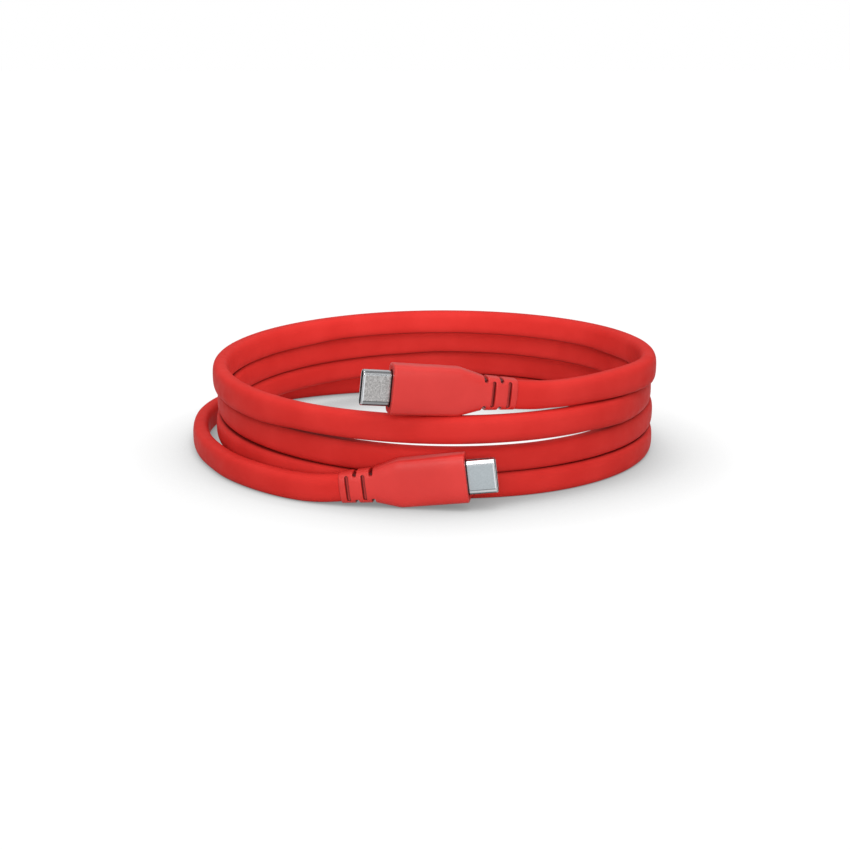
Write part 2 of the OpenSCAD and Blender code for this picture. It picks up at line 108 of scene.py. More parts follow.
# How far each half turn's circle lies off centre, and each quarter turn's height in layers.
SHIFTS = [[3.5, -8], [-2.5, -5], [0.5, -2], [-1, 0], [0, 2.4], [1.5, 3.5], [-4.5, 3.5]]
LEVELS = [3.25, 3.19, 3.02, 2.63, 2.22, 2.13, 2.03, 1.56, 1.03, 1.03, 1.02, 0.56, -0.03]
LAYER = CORD_W + 0.5
FIRST_ANGLE, LAST_ANGLE = -15, 975
# The loop on the surface: angle, distance outside the coil's radius.
LOOP_POINTS = [
    (1005, -3.5), (1025, -2.1), (1045, -1), (1065, 0.2), (1085, 1.4), (1105, 2.6), (1125, 3.6),
    (1145, 4.6), (1165, 6.1), (1185, 8.2), (1201, 10.4), (1216, 12.2), (1230, 11.9), (1245, 10),
    (1260, 7.6), (1275, 6.3), (1290, 6),
]  # fmt: skip
# Handles of the curves from the upper plug to the coil and from the loop to the lower plug.
LEAD_OUT, LEAD_IN = 8, 9
BEND_OUT, BEND_IN = 14, 9
IN_RELIEF = (0.0, 3.0, 6.0, 9.0, 12.0)  # the cord runs straight inside each strain relief
PAST_RELIEF = (2.0, 4.0)  # and a little way out of it
JOIN = 2.0  # gap before the loop's first point and the lower relief, which the curve bridges
CURVE_POINTS, COIL_POINTS = 40, 800
LOOP_STEP = 0.08
DENSE_STEP = 0.5
SMOOTHING = (12, 8)


def coil_point(angle):
    s = spline(SHIFTS, (angle + 90) / 180)
    level = spline([[v] for v in LEVELS], (angle + 90) / 90)[0]
    a = math.radians(angle)
    return np.array(
        [s[0] + COIL_R * math.cos(a), s[1] + COIL_R * math.sin(a), CORD_W / 2 + LAYER * level]
    )


# The upper plug rests on the first turn below it, the lower one on the surface.
UPPER_YAW, UPPER_PITCH, UPPER_X, UPPER_Y = 195.5, 6.0, 18.0, -50.8
LOWER_YAW, LOWER_PITCH, LOWER_X, LOWER_Y = -8.0, 7.0, 7.2, -58.4
REST_GAP = 0.1
UPPER_DIR, LOWER_DIR = heading(UPPER_YAW, UPPER_PITCH), heading(LOWER_YAW, LOWER_PITCH)
waist_up = WAIST_W / 2 * math.cos(math.radians(UPPER_PITCH)) - (PLUG_L - BODY_L) * UPPER_DIR[2]
UPPER_TAIL = np.array([UPPER_X, UPPER_Y, coil_point(275)[2] + CORD_W / 2 + REST_GAP + waist_up])
waist_up = WAIST_W / 2 * math.cos(math.radians(LOWER_PITCH)) + BODY_L * LOWER_DIR[2]
LOWER_TIP = np.array([LOWER_X, LOWER_Y, waist_up])
UPPER_TIP = UPPER_TAIL + UPPER_DIR * PLUG_L
LOWER_TAIL = LOWER_TIP - LOWER_DIR * PLUG_L


def on_surface(p):
    return np.array([p[0], p[1], max(p[2], CORD_W / 2)])


def route():
    """Dense points of the whole cord, from inside the upper relief to inside the lower one."""
    straight_end = UPPER_TAIL - UPPER_DIR * CORD_W
    start = coil_point(FIRST_ANGLE)
    start_dir = unit(coil_point(FIRST_ANGLE + 1) - start)
    points = [UPPER_TAIL + UPPER_DIR * s for s in IN_RELIEF[::-1]]
    points += [UPPER_TAIL - UPPER_DIR * s for s in PAST_RELIEF]
    lead = (straight_end, straight_end - UPPER_DIR * LEAD_OUT, start - start_dir * LEAD_IN, start)
    points += [bezier(*lead, u) for u in np.linspace(0, 1, CURVE_POINTS)[:-1]]
    last = LAST_ANGLE + math.degrees(CORD_W / COIL_R)
    points += [coil_point(a) for a in np.linspace(FIRST_ANGLE, last, COIL_POINTS)]
    end = coil_point(last)
    end_dir = unit(end - coil_point(LAST_ANGLE))
    loop = [end + end_dir * JOIN]
    for angle, outside in LOOP_POINTS:
        a, r = math.radians(angle), COIL_R + outside
        loop.append(np.array([r * math.cos(a), r * math.sin(a), CORD_W / 2]))
    points += [on_surface(spline(loop, u)) for u in np.arange(0, len(loop) - 1 + 1e-9, LOOP_STEP)]
    bend_start = loop[-1]
    bend_dir = unit(np.array([-bend_start[1], bend_start[0], 0]))
    bend_end = LOWER_TAIL - LOWER_DIR * JOIN
    bend = (bend_start, bend_start + bend_dir * BEND_OUT, bend_end - LOWER_DIR * BEND_IN, bend_end)
    points += [on_surface(bezier(*bend, u)) for u in np.linspace(0, 1, CURVE_POINTS)[1:]]
    points += [LOWER_TAIL + LOWER_DIR * s for s in IN_RELIEF]
    return np.array(points)


def lengths(p):
    """Distance along the points, from the first to each."""
    return np.concatenate([[0], np.cumsum(np.linalg.norm(np.diff(p, axis=0), axis=1))])


def resample(p, step):
    apart = np.linalg.norm(np.diff(p, axis=0), axis=1) > 1e-6
    p = p[np.concatenate([[True], apart])]
    s = lengths(p)
    at = np.linspace(0, s[-1], int(round(s[-1] / step)) + 1)
    return np.stack([np.interp(at, s, p[:, k]) for k in range(3)], 1)


def smoothed(p, reach):
    """Moving average over reach points each way, shorter near the ends."""
    out = p.copy()
    for i in range(1, len(p) - 1):
        r = min(reach, i, len(p) - 1 - i)
        w = np.hanning(2 * r + 3)[1:-1]
        out[i] = (p[i - r : i + r + 1] * w[:, None]).sum(0) / w.sum()
    return out


dense = resample(route(), DENSE_STEP)
for reach in SMOOTHING:
    dense = smoothed(dense, reach)
line = lengths(dense)


def nearest(p):
    """Distance along the route of its point nearest to p."""
    return line[int(np.argmin(np.linalg.norm(dense - p, axis=1)))]


free_from, free_to = nearest(UPPER_TAIL), nearest(LOWER_TAIL)


def along(s):
    """Points of the route at the distances s along it."""
    return np.stack([np.interp(s, line, dense[:, k]) for k in range(3)], -1)


# ---------------------------------------------------------------- mesh helpers
CURVE_SAMPLES = 1441  # points of a rounded section before it is spaced evenly
WELD = 0.0002  # points nearer than this are joined


def superellipse(n, a, b, power):
    """n points round |x/a|^power + |y/b|^power = 1, evenly spaced along it."""
    t = np.linspace(0, 2 * math.pi, CURVE_SAMPLES)
    x = a * np.sign(np.cos(t)) * np.abs(np.cos(t)) ** (2 / power)
    y = b * np.sign(np.sin(t)) * np.abs(np.sin(t)) ** (2 / power)
    s = np.concatenate([[0], np.cumsum(np.hypot(np.diff(x), np.diff(y)))])
    at = np.linspace(0, s[-1], n + 1)[:-1]
    return np.stack([np.interp(at, s, x), np.interp(at, s, y)], 1)


def make_mesh(name, vertices, faces, sharp=None):
    mesh = bpy.data.meshes.new(name)
    mesh.from_pydata([tuple(v) for v in vertices], [], faces)
    mesh.update()
    mesh.shade_smooth()
    if sharp is not None:
        mesh.set_sharp_from_angle(angle=math.radians(sharp))
    obj = bpy.data.objects.new(name, mesh)
    scene.collection.objects.link(obj)
    return obj


def store(obj, name, values):
    """Keeps one value per vertex on the mesh, for its material to read."""
    made = obj.data.attributes.new(name, "FLOAT", "POINT")
    made.data.foreach_set("value", np.ascontiguousarray(values, dtype=np.float32))


def weld(obj):
    """Joins the points that a cut leaves on top of each other in its corners."""
    work = bmesh.new()
    work.from_mesh(obj.data)
    bmesh.ops.remove_doubles(work, verts=work.verts, dist=WELD * MM)
    work.to_mesh(obj.data)
    work.free()


def ring_faces(rings, points, closed=False):
    """Quads between rings of points each; caps at both ends unless closed."""
    faces = []
    last = rings if closed else rings - 1
    for i in range(last):
        for k in range(points):
            a, b = i * points + k, i * points + (k + 1) % points
            c = ((i + 1) % rings) * points
            faces.append((a, b, c + (k + 1) % points, c + k))
    if not closed:
        faces.append(tuple(range(points))[::-1])
        faces.append(tuple((rings - 1) * points + k for k in range(points)))
    return faces


# ---------------------------------------------------------------- materials
# How much lower and higher than its plain value a surface's roughness runs.
POLYMER_GLOSS = (-0.05, 0.06)
METAL_GLOSS = (-0.06, 0.08)
NOISE_BAND = (0.3, 0.7)  # the values between which nearly all of a noise lies
RECESS_SHADE_SHARE, SHELL_SHADE_SHARE = 0.13, 0.12  # share of the colour left where shade is painted: in recesses, and on a shell's dark lines
PITS = 2.0e-7  # depth of a shell's grain for each step of its mottle


def new_material(name):
    material = bpy.data.materials.new(name)
    material.use_nodes = True
    tree = material.node_tree
    shader = next(n for n in tree.nodes if n.type == "BSDF_PRINCIPLED")
    return material, tree, shader


def node(tree, kind, **values):
    made = tree.nodes.new(kind)
    for key, value in values.items():
        setattr(made, key, value)
    return made


def place(tree):
    """Object coordinates, in metres."""
    return node(tree, "ShaderNodeTexCoord").outputs["Object"]


def stored(tree, name):
    """The value that the mesh keeps under this name."""
    made = node(tree, "ShaderNodeAttribute")
    made.attribute_name = name
    return made.outputs["Fac"]


def noise(tree, vector, scale, detail=2.0, roughness=0.5):
    made = node(tree, "ShaderNodeTexNoise")
    made.inputs["Scale"].default_value = scale
    made.inputs["Detail"].default_value = detail
    made.inputs["Roughness"].default_value = roughness
    tree.links.new(vector, made.inputs["Vector"])
    return made.outputs["Fac"]


def ramp(tree, value, stops):
    made = node(tree, "ShaderNodeValToRGB")
    while len(made.color_ramp.elements) < len(stops):
        made.color_ramp.elements.new(0.5)
    for element, (position, colour) in zip(made.color_ramp.elements, stops):
        element.position = position
        element.color = (*colour, 1)
    tree.links.new(value, made.inputs["Fac"])
    return made.outputs["Color"]


def spread(tree, value, low, high, new_low, new_high):
    """The value, with low to high mapped to new_low to new_high."""
    made = node(tree, "ShaderNodeMapRange")
    for key, v in zip(("From Min", "From Max", "To Min", "To Max"), (low, high, new_low, new_high)):
        made.inputs[key].default_value = v
    tree.links.new(value, made.inputs["Value"])
    return made.outputs["Result"]


def bump(tree, shader, height, distance):
    made = node(tree, "ShaderNodeBump")
    made.inputs["Strength"].default_value = 1.0
    made.inputs["Distance"].default_value = distance
    tree.links.new(height, made.inputs["Height"])
    tree.links.new(made.outputs["Normal"], shader.inputs["Normal"])


def darker(tree, colour, amount, share):
    """The colour, multiplied by share where amount is 1."""
    mix = node(tree, "ShaderNodeMix", data_type="RGBA", blend_type="MULTIPLY")
    mix.inputs["B"].default_value = (share, share, share, 1)
    tree.links.new(amount, mix.inputs["Factor"])
    tree.links.new(colour, mix.inputs["A"])
    return mix.outputs["Result"]


def srgb(*c):
    """Linear colour of three screen levels from 0 to 255."""
    return tuple((v / 255 / 12.92) if v <= 10 else ((v / 255 + 0.055) / 1.055) ** 2.4 for v in c)


def polymer(name, shades, rough, grain=2600.0, cloud=90.0, specular=0.5, recess_shade=False):
    """Moulded or extruded plastic: faint cloudy colour, a fine satin grain and uneven gloss. With
    recess it gets painted shade where the mesh says that it lies in a slot or a seam."""
    material, tree, shader = new_material(name)
    at = place(tree)
    colour = ramp(tree, noise(tree, at, cloud, 3), list(zip((0.3, 0.5, 0.7), shades)))
    # painted shade in slots and seams, read from the mesh
    if recess_shade:
        colour = darker(tree, colour, stored(tree, "recess_shade"), RECESS_SHADE_SHARE)
    tree.links.new(colour, shader.inputs["Base Color"])
    rough_band = [rough + g for g in POLYMER_GLOSS]
    gloss = spread(tree, noise(tree, at, cloud * 5, 2), *NOISE_BAND, *rough_band)
    tree.links.new(gloss, shader.inputs["Roughness"])
    shader.inputs["Specular IOR Level"].default_value = specular
    bump(tree, shader, noise(tree, at, grain, 2), 2.5e-6)
    return material


def metal(name, dark, light, rough, grain=900.0, depth=1.5e-6):
    """Plated or bare metal with faint clouds and tiny pits."""
    material, tree, shader = new_material(name)
    at = place(tree)
    colour = ramp(tree, noise(tree, at, grain / 3, 3), [(0.35, dark), (0.65, light)])
    tree.links.new(colour, shader.inputs["Base Color"])
    shader.inputs["Metallic"].default_value = 1.0
    rough_band = [rough + g for g in METAL_GLOSS]
    gloss = spread(tree, noise(tree, at, grain, 3), *NOISE_BAND, *rough_band)
    tree.links.new(gloss, shader.inputs["Roughness"])
    bump(tree, shader, noise(tree, at, grain * 2, 2), depth)
    return material


def tones(*levels):
    """The dark, plain and light colour of a material."""
    return [srgb(*c) for c in levels]


REDS = tones((217, 50, 45), (222, 54, 49), (227, 58, 53))
BLACKS = tones((22, 22, 24), (30, 30, 32), (38, 38, 40))
CHIP_BLACKS = tones((20, 20, 22), (28, 28, 30), (36, 36, 38))
CARD_GREENS = tones((14, 62, 34), (20, 78, 42), (28, 92, 52))
CHIP_TANS = tones((116, 98, 76), (142, 122, 96), (164, 144, 116))
WIRE_REDS = tones((176, 26, 26), (190, 32, 30), (204, 40, 38))
WIRE_WHITES = tones((214, 214, 208), (226, 226, 220), (236, 236, 232))
CREAMS = tones((206, 200, 182), (220, 214, 198), (230, 226, 212))
MATERIALS = {
    "jacket": polymer("jacket", REDS, 0.55, specular=0.05, recess_shade=True),
    "moulding": polymer("moulding", REDS, 0.38, grain=3600.0, specular=0.42, recess_shade=True),
    "black_plastic": polymer("black_plastic", BLACKS, 0.5),
    "gold": metal("gold", srgb(214, 168, 84), srgb(236, 196, 112), 0.26),
    "spring_steel": metal("spring_steel", srgb(176, 178, 182), srgb(200, 202, 206), 0.32),
    "card": polymer("card", CARD_GREENS, 0.38, cloud=700.0),
    "chip": polymer("chip", CHIP_BLACKS, 0.55),
    "chip_part": polymer("chip_part", CHIP_TANS, 0.5, cloud=1200.0),
    "wire_red": polymer("wire_red", WIRE_REDS, 0.42),
    "wire_white": polymer("wire_white", WIRE_WHITES, 0.42),
    "shield_steel": metal("shield_steel", srgb(170, 172, 178), srgb(196, 198, 204), 0.36),
    "inner_plastic": polymer("inner_plastic", CREAMS, 0.5),
    "braid": metal("braid", srgb(150, 146, 138), srgb(196, 190, 178), 0.42, 2600.0, 2e-5),
    "brass": metal("brass", srgb(190, 150, 82), srgb(216, 178, 108), 0.34),
}


def drawn_shell(name, mottle, tint):
    """Nickel on drawn steel: satin flats, mottled by so many levels below their tint, polished
    bends painted lighter as a painted reflection, and thin dark lines of painted shade and painted
    reflection."""
    material, tree, shader = new_material(name)
    at = place(tree)
    bend = stored(tree, "bend")
    grain = noise(tree, at, 3000, 3, 0.7)
    dull = srgb(*[v - mottle for v in tint])
    clear = srgb(*[v + 8 for v in tint])
    flat = ramp(tree, grain, [(0.36, dull), (0.64, clear)])
    # the bends' lighter colour is a painted reflection over their real polish
    polished = ramp(tree, grain, [(0.3, srgb(218, 221, 224)), (0.7, srgb(228, 230, 232))])
    tone = node(tree, "ShaderNodeMix", data_type="RGBA")
    tree.links.new(bend, tone.inputs["Factor"])
    tree.links.new(flat, tone.inputs["A"])
    tree.links.new(polished, tone.inputs["B"])
    # painted shade and painted reflection along the shell's dark lines
    lined = darker(tree, tone.outputs["Result"], stored(tree, "shell_shade"), SHELL_SHADE_SHARE)
    tree.links.new(lined, shader.inputs["Base Color"])
    shader.inputs["Metallic"].default_value = 1.0
    tree.links.new(spread(tree, bend, 0.0, 1.0, 0.3, 0.17), shader.inputs["Roughness"])
    bump(tree, shader, noise(tree, at, 2600, 2), 1.0e-6 + mottle * PITS)
    return material


# Both shells are the same nickel: their different tints and mottle are lit and shaded copies of it, a
# painted reflection, and the mottle also deepens the real grain.
SHELL_METAL = {
    "upper": drawn_shell("nickel_upper", 46, (188, 186, 185)),
    "lower": drawn_shell("nickel_lower", 4, (174, 182, 186)),
}
PIECE_SLOTS = {
    "housing": "black_plastic",
    "contacts_a": "gold",
    "contacts_b": "gold",
    "latch_plate": "spring_steel",
    "ground_spring_a": "spring_steel",
    "ground_spring_b": "spring_steel",
    "carrier": "black_plastic",
    "paddle_card": "card",
    "marker_chip": "chip",
    "chip_parts": "chip_part",
    "power_wires": "wire_red",
    "data_wires": "wire_white",
    "can_a": "shield_steel",
    "can_b": "shield_steel",
    "inner_mould": "inner_plastic",
    "braid_cuff": "braid",
    "crimp_ring": "brass",
}
for plug in ("upper", "lower"):
    for piece, slot in PIECE_SLOTS.items():
        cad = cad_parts[f"{plug}_{piece}"]
        cad.data.materials.clear()
        cad.data.materials.append(MATERIALS[slot])

# ---------------------------------------------------------------- cord
SECTION_POINTS = 40
SECTION_POWER = 3.0
RING_STEP = 1.5
HIDDEN_END = 4.5  # how far the cord's mesh runs on inside each strain relief
SLIM_FROM, SLIM_TO = 0.5, 1.1  # where in there it grows slimmer
SLIM_SIZE = 0.7  # its share of the section then, which keeps it clear of the relief's slots
# How far the jacket stands over the frame's cord at its top and bottom edges: (millimetres past
# the upper relief, top, bottom) along the lead, then (coil angle, top, bottom) along the turns.
# Most of it touches the turns next to it; at the front light shows between the first two.
LEAD_FULLER = [(1, 0.15, 0.4), (5, 0.15, 0.3), (10, 0.15, -0.1), (18, 0.15, -0.1), (24, 0.15, 0.15)]
TURN_FULLER = [
    (0, 0.15, 0.15), (235, 0.15, 0.15), (255, 0.3, 0.1), (312, 0.25, 0.05), (325, 0.15, 0.15),
    (600, 0.15, 0.15), (622, -0.15, 0.2), (655, -0.4, 0.2), (671, -0.35, 0.2), (690, 0.15, 0.15),
]  # fmt: skip
OPEN_ANGLES = (252, 318)  # where the first turn hangs free of the second
TOUCH_SIDE = 3.4  # turns further apart than this sideways don't touch
SHUT_SIDE = 5.5  # and past this they get no painted shade in the seam between them
MOST_FILL = 0.8
PRESS = 0.02  # how far touching turns stand in each other
TURN_APART = 150  # points of the route nearer than this along it are on the same turn
SEAM_FROM, SEAM_RUN, SEAM_SHADE = 0.9, 0.07, 0.85  # painted shade in the seams between touching turns
BLEND_RINGS = 4


def averaged(values, reach):
    """Moving average over reach rings each way."""
    span = 2 * reach + 1
    return np.convolve(np.pad(values, reach, mode="edge"), np.full(span, 1 / span), mode="valid")


def filled(s, centre, top):
    """How far each ring's bottom edge has to reach to rest on the turn below it, and how much its
    top and its bottom edge are shut in by a turn, which sets the painted shade in the seams."""
    reach, over, under = np.zeros((3, len(s)))
    shut_from, shut_to = (nearest(coil_point(a)) for a in OPEN_ANGLES)
    for i, c in enumerate(centre):
        if shut_from < s[i] < shut_to or s[i] < free_from + LEAD_FULLER[-1][0]:
            continue
        drop = c[2] - centre[:, 2]
        lower = (np.abs(s - s[i]) > TURN_APART) & (drop > CORD_W / 2) & (drop < 1.5 * CORD_W)
        lower = np.nonzero(lower)[0]
        if len(lower) == 0:
            continue
        side = np.hypot(*(centre[lower, :2] - c[:2]).T)
        k = lower[np.argmin(side)]
        if side.min() < TOUCH_SIDE:
            reach[i] = np.clip(c[2] - centre[k, 2] - CORD_W - top[k] + PRESS, 0, MOST_FILL)
        if side.min() < SHUT_SIDE:
            over[k] = under[i] = 1
    # the upper turn's rings can skip one of the lower turn's
    over = np.maximum(over, np.minimum(np.roll(over, 1), np.roll(over, -1)))
    return [averaged(values, BLEND_RINGS) for values in (reach, over, under)]


def build_cord():
    ends = np.array([HIDDEN_END, SLIM_TO, (SLIM_FROM + SLIM_TO) / 2, SLIM_FROM, 0.0])
    run = np.arange(free_from + 1, free_to - 0.5, RING_STEP)
    s = np.concatenate([free_from - ends, run, free_to + ends[::-1]])
    centre = along(s)
    ahead, behind = along(s + 0.5), along(s - 0.5)
    # clockwise, so that the faces look outward
    section = superellipse(SECTION_POINTS, CORD_T / 2, CORD_W / 2, SECTION_POWER)[::-1]
    fuller = [(free_from + d, t, b) for d, t, b in LEAD_FULLER]
    fuller += [(nearest(coil_point(a)), t, b) for a, t, b in TURN_FULLER]
    top, bottom = (np.interp(s, [f[0] for f in fuller], [f[k] for f in fuller]) for k in (1, 2))
    reach, over_shut, under_shut = filled(s, centre, top)
    bottom = np.maximum(bottom, reach) * 2 / CORD_W
    top = top * 2 / CORD_W
    vertices = []
    inside = np.maximum(free_from - s, s - free_to)
    slim = np.interp(inside, [SLIM_FROM, SLIM_TO], [1.0, SLIM_SIZE])
    for c, a, b, size, over, under in zip(centre, ahead, behind, slim, top, bottom):
        d = unit(a - b)
        out = unit(np.cross(d, [0, 0, 1]))
        up = np.cross(out, d)
        x = section[:, :1] * size
        y = section[:, 1:] * size * np.where(section[:, 1:] > 0, 1 + over, 1 + under)
        ring = c + out * x + up * y
        ring[:, 2] = np.maximum(ring[:, 2], 0)
        vertices += list((ring - MIDDLE) * MM)
    cord = make_mesh("cord", vertices, ring_faces(len(s), SECTION_POINTS))
    # painted shade along the top and bottom edges where another turn shuts them in
    edge = np.clip((np.abs(section[:, 1]) * 2 / CORD_W - SEAM_FROM) / SEAM_RUN, 0, 1)
    shut = np.where(section[None, :, 1] > 0, over_shut[:, None], under_shut[:, None])
    store(cord, "recess_shade", (SEAM_SHADE * edge * shut).ravel())
    cord.data.materials.append(MATERIALS["jacket"])
    return cord


cord = build_cord()
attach(cord, "root")
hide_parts("cord_coil", "cord_loop")


# ---------------------------------------------------------------- plugs
def plug_place(tip, yaw, pitch):
    """Origin and axes of a plug's frame in the row frame."""
    y, p = math.radians(yaw), math.radians(pitch)
    x_axis = heading(yaw, pitch)
    y_axis = np.array([-math.sin(y), math.cos(y), 0])
    z_axis = np.array([-math.sin(p) * math.cos(y), -math.sin(p) * math.sin(y), math.cos(p)])
    return tip - MIDDLE, np.stack([x_axis, y_axis, z_axis])


PLUGS = {
    "upper": plug_place(UPPER_TIP, UPPER_YAW, UPPER_PITCH),
    "lower": plug_place(LOWER_TIP, LOWER_YAW, LOWER_PITCH),
}


def placed(plug, points):
    """Points of a plug's frame, in the row frame and in metres."""
    origin, axes = PLUGS[plug]
    return (np.asarray(points) @ axes + origin) * MM


def stadium(count, w, t):
    """count points round a bar with fully rounded edges, w along Z and t along Y."""
    r = t / 2
    angles = np.radians(np.arange(181))
    top = np.column_stack([r * np.cos(angles), w / 2 - r + r * np.sin(angles)])
    p = np.concatenate([[[r, 0]], top, -top, [[r, 0]]])
    s = lengths(p)
    at = np.linspace(0, s[-1], count + 1)[:-1]
    return np.stack([np.interp(at, s, p[:, 0]), np.interp(at, s, p[:, 1])], 1)


ROOT_W, ROOT_T = CORD_W + 2 * RELIEF_ROOT, CORD_T + 1.5 * RELIEF_ROOT
END_W, END_T = CORD_W + 2 * RELIEF_TIP, CORD_T + 2 * RELIEF_TIP
RIM_R = 0.35  # rounding of the moulding's front rim
TIP_ROUND = 0.4  # and of the relief's end, which draws in by a little less than it is long
TIP_INSET = 0.9
# painted shade on the last ring of the relief's rounded end
TIP_SHADE = 0.7
TUCK = 0.3  # how far the end of the relief turns back in along the cord, and how tightly
AROUND = 288
BODY_POWER, RELIEF_POWER = 4.2, 3.2
FILLET = 0.9  # half the run over which the moulding's straight tapers blend into each other
KNOT_X = [-PLUG_L - 2, -PLUG_L, -BODY_L - SHOULDER_L, -BODY_L, 1]
KNOTS = {
    "w": [END_W, END_W, ROOT_W, WAIST_W, BODY_W],
    "t": [END_T, END_T, ROOT_T, BODY_T, BODY_T],
    "power": [RELIEF_POWER, RELIEF_POWER, RELIEF_POWER, BODY_POWER, BODY_POWER],
}
blend_at = np.linspace(-FILLET, FILLET, 19)
blend_weight = np.hanning(21)[1:-1]


def moulding_profile(x):
    """Width, thickness and roundness of the moulding at x, without its rims."""
    return tuple(
        float((np.interp(x + blend_at, KNOT_X, KNOTS[k]) * blend_weight).sum() / blend_weight.sum())
        for k in ("w", "t", "power")
    )


# The relief's slots in its wide faces and U-shaped notches in its narrow edges.
SLOT_W, SLOT_STEP, SLOT_L = 0.9, 1.93, 6.05
SLOT_X = [-PLUG_L + SLOT_STEP * (1 + 2 * i) for i in range(2)]
NOTCH_X = [-PLUG_L + SLOT_STEP * (2 + 2 * i) for i in range(2)]
SLOT_FLOOR = 1.65  # distance from the plug's middle plane to which a face slot is cut
NOTCH_FLOOR = 3.05  # the same from its other middle plane, for an edge notch
NOTCH_END = 3.1  # centre of the notch's round end in the wide face, from that plane
NOTCH_POCKET = 1.2  # distance from the plug's middle plane to which that end is cut
NOTCH_R = 0.45
WALL = 0.07  # run of a slot's wall along the mesh
LIP = 0.24  # width of the rounded lip round a slot or notch
LIP_DROP = 0.13  # how far the lip falls at the cut's edge
SIDE_FROM, SIDE_RUN = 0.55, 0.2  # share of its half size past which a point is on that side
BED_FROM, BED_RUN = 0.16, 0.14  # distance inside a slot's edge from which its bed gets less painted shade
# share of the painted shade taken off a slot's bed, a painted lighter patch
BED_PAINTED_LIGHT = 0.6
COARSE_STEP, FINE_STEP = 0.3, 0.06
FINE_FROM = -BODY_L - SHOULDER_L + 0.6  # the relief's own stations are closer together


def stations():
    """Where the moulding's rings lie between its rounded ends, from the front back."""
    body = np.arange(-RIM_R, FINE_FROM + 0.1, -COARSE_STEP)
    relief = np.arange(FINE_FROM, -PLUG_L + TIP_ROUND + FINE_STEP / 2, -FINE_STEP)
    return np.concatenate([body, relief])


def lip_drop(d):
    """How far the surface falls away at distance d outside a cut's edge."""
    f = 1 - np.clip(d / LIP, 0, 1)
    return LIP_DROP * (1 - np.sqrt(1 - f * f))


def cut(points, x):
    """Presses the slots and notches into a ring of the relief, with soft lips round them, and gives
    the painted shade inside them, lighter on a slot's bed.
    """
    p = points.copy()
    y, z = np.abs(p[:, 0]), np.abs(p[:, 1])
    shade = np.zeros(len(p))
    wide = np.clip((y / np.max(y) - SIDE_FROM) / SIDE_RUN, 0, 1)
    for slot in SLOT_X:
        if abs(x - slot) > SLOT_W / 2 + LIP:
            continue
        straight = SLOT_L / 2 - SLOT_W / 2
        d = np.hypot(x - slot, np.maximum(z - straight, 0)) - SLOT_W / 2
        deep = np.clip(-d / WALL, 0, 1)
        y = y - lip_drop(np.maximum(d, 0)) * wide
        y = y + (np.minimum(y, SLOT_FLOOR) - y) * deep * wide
        bed = np.clip((-d - BED_FROM) / BED_RUN, 0, 1)
        shade = np.maximum(shade, deep * wide * (1 - BED_PAINTED_LIGHT * bed))
    narrow = np.clip((z / np.max(z) - SIDE_FROM) / SIDE_RUN, 0, 1)
    for notch in NOTCH_X:
        run = abs(x - notch)
        if run > NOTCH_R + LIP:
            continue
        d = np.hypot(run, np.maximum(NOTCH_END - z, 0)) - NOTCH_R
        deep = np.clip(-d / WALL, 0, 1)
        shade = np.maximum(shade, deep)
        y = y + (np.minimum(y, NOTCH_POCKET) - y) * deep
        if run < NOTCH_R:
            floor = NOTCH_FLOOR + NOTCH_R - math.sqrt(NOTCH_R**2 - run**2)
            z = np.minimum(z, floor)
        else:
            z = z - lip_drop(run - NOTCH_R) * narrow
    p[:, 0], p[:, 1] = np.sign(p[:, 0]) * y, np.sign(p[:, 1]) * z
    return p, shade


SEAT_GAP = 0.2  # gap between the shell and the moulding, darkened with painted shade
SEAT_DEPTH = 1.2
SEAT_CHAMFER = 0.1


def build_moulding(plug):
    """Body, shoulder and slotted relief in one piece, open round the shell to a seat in painted
    shade.
    """
    rings, shades = [], []

    def add(x, section, shade=0.0):
        rings.append(np.column_stack([np.full(AROUND, x), section]))
        shades.append(np.broadcast_to(shade, AROUND))

    def outline(profile, inset=0.0):
        w, t, power = profile
        return superellipse(AROUND, t / 2 - inset, w / 2 - inset, power)

    # the hollow round the shell, in painted shade, then the rounded front rim
    for x, gap in ((-SEAT_DEPTH, SEAT_GAP), (-SEAT_CHAMFER, SEAT_GAP), (0, SEAT_GAP + SEAT_CHAMFER)):
        add(x, stadium(AROUND, SHELL_W + 2 * gap, SHELL_T + 2 * gap), 1.0 if x < 0 else 0.0)
    for a in np.radians(np.linspace(0, 90, 11)):
        x = -RIM_R * (1 - math.cos(a))
        add(x, outline(moulding_profile(x), RIM_R * (1 - math.sin(a))))
    for x in stations()[1:]:
        add(x, *cut(outline(moulding_profile(x)), x))
    # the rounded end of the relief, with painted shade on its last ring, and a short way back in
    # along the cord, all in painted shade
    end = moulding_profile(-PLUG_L + TIP_ROUND)
    for share in np.linspace(0, 1, 9):
        a = math.radians(90 * share)
        x = -PLUG_L + TIP_ROUND * (1 - math.sin(a))
        add(x, outline(end, TIP_ROUND * TIP_INSET * (1 - math.cos(a))), TIP_SHADE * (share == 1))
    add(-PLUG_L + TUCK, outline((CORD_W - TUCK, CORD_T - TUCK, RELIEF_POWER)), 1.0)
    # from the tail forward, so that the faces look outward
    vertices = placed(plug, np.concatenate(rings[::-1]))
    obj = make_mesh(f"{plug}_plug_moulding", vertices, ring_faces(len(rings), AROUND), sharp=50)
    # painted shade in the seat, the slots and notches, and at the relief's end
    store(obj, "recess_shade", np.concatenate(shades[::-1]))
    weld(obj)
    obj.data.materials.append(MATERIALS["moulding"])
    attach(obj, "root")
    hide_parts(f"{plug}_moulding")
    return obj


